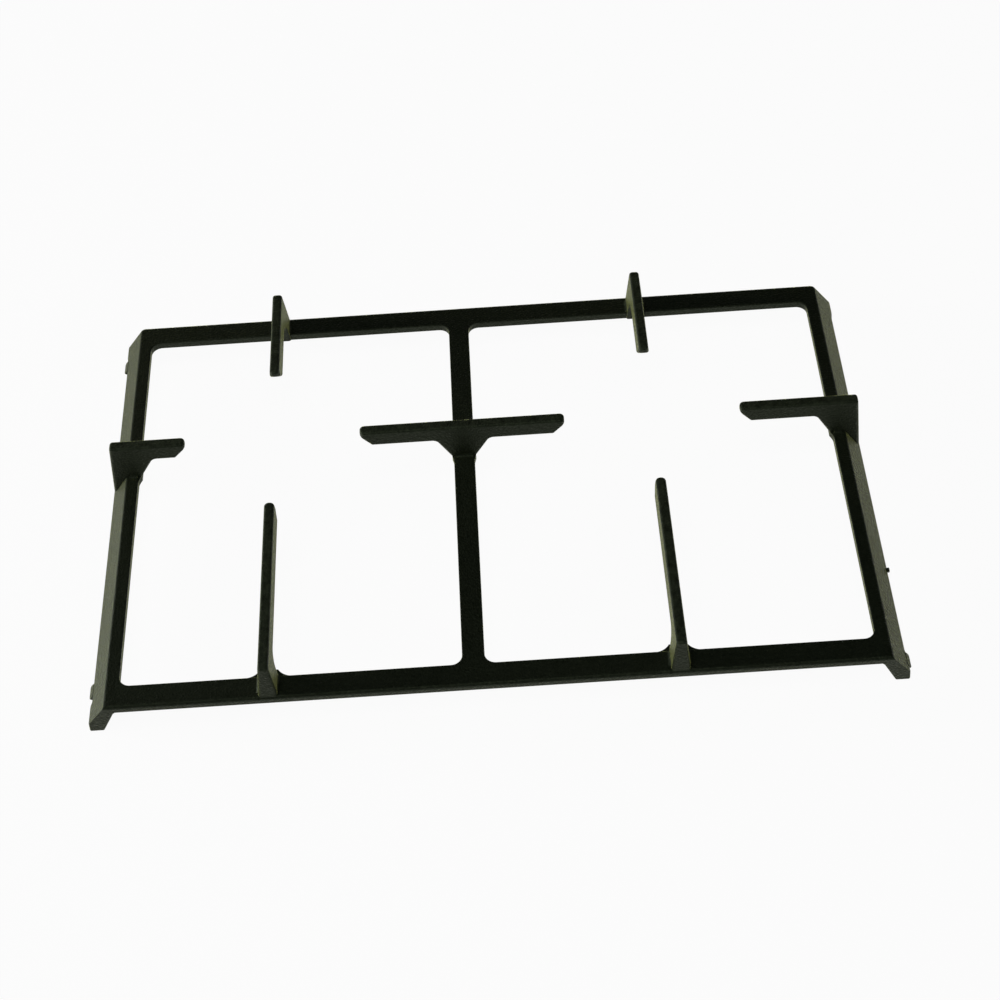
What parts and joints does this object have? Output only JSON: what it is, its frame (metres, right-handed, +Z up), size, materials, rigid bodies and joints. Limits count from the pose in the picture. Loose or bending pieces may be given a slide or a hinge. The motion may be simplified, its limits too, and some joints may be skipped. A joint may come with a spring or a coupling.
{
  "type": "hob pan support",
  "caption": "Cast-iron pan support for a gas hob: flat rails around two open cells, with raised fingers reaching in around each burner.",
  "frame": {"origin": "under the middle of the frame, on the plane of the feet", "axes": "+X along the front rail to the right, +Y from the front rail to the back rail, +Z up"},
  "size_m": [0.4446, 0.2846, 0.0428],
  "materials": {
    "enamel": "satin black enamel"
  },
  "bodies": {
    "root": {"pan_support": "enamel"}
  },
  "joints": []
}
